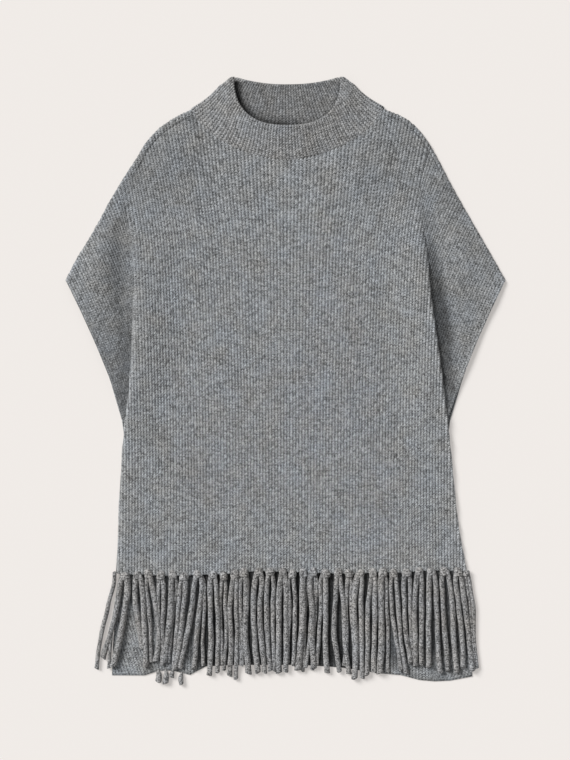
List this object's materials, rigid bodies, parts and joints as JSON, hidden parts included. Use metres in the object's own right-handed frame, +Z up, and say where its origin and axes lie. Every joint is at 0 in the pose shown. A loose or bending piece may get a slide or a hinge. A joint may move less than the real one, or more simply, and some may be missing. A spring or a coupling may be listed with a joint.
{
  "type": "knitted poncho sweater",
  "caption": "Knitted poncho sweater laid flat, ribbed panels with short wing sleeves, funnel neck and a fringed front hem over a longer back.",
  "frame": {"origin": "under the middle of the garment's bounding box, on the surface that it lies on", "axes": "+X to the wearer's left, which is the viewer's right, +Y from the hem to the neck, +Z up from the surface"},
  "size_m": [0.6586, 0.9092, 0.0176],
  "materials": {
    "front_knit": "soft matt grey melange rib knit",
    "back_knit": "soft matt grey melange rib knit",
    "neck_knit": "soft matt grey melange rib knit",
    "fringe_yarn": "rolled knit strips, soft matt grey melange"
  },
  "bodies": {
    "root": {"front": "front_knit", "back": "back_knit", "neck_band": "neck_knit", "fringe": "fringe_yarn"}
  },
  "joints": []
}
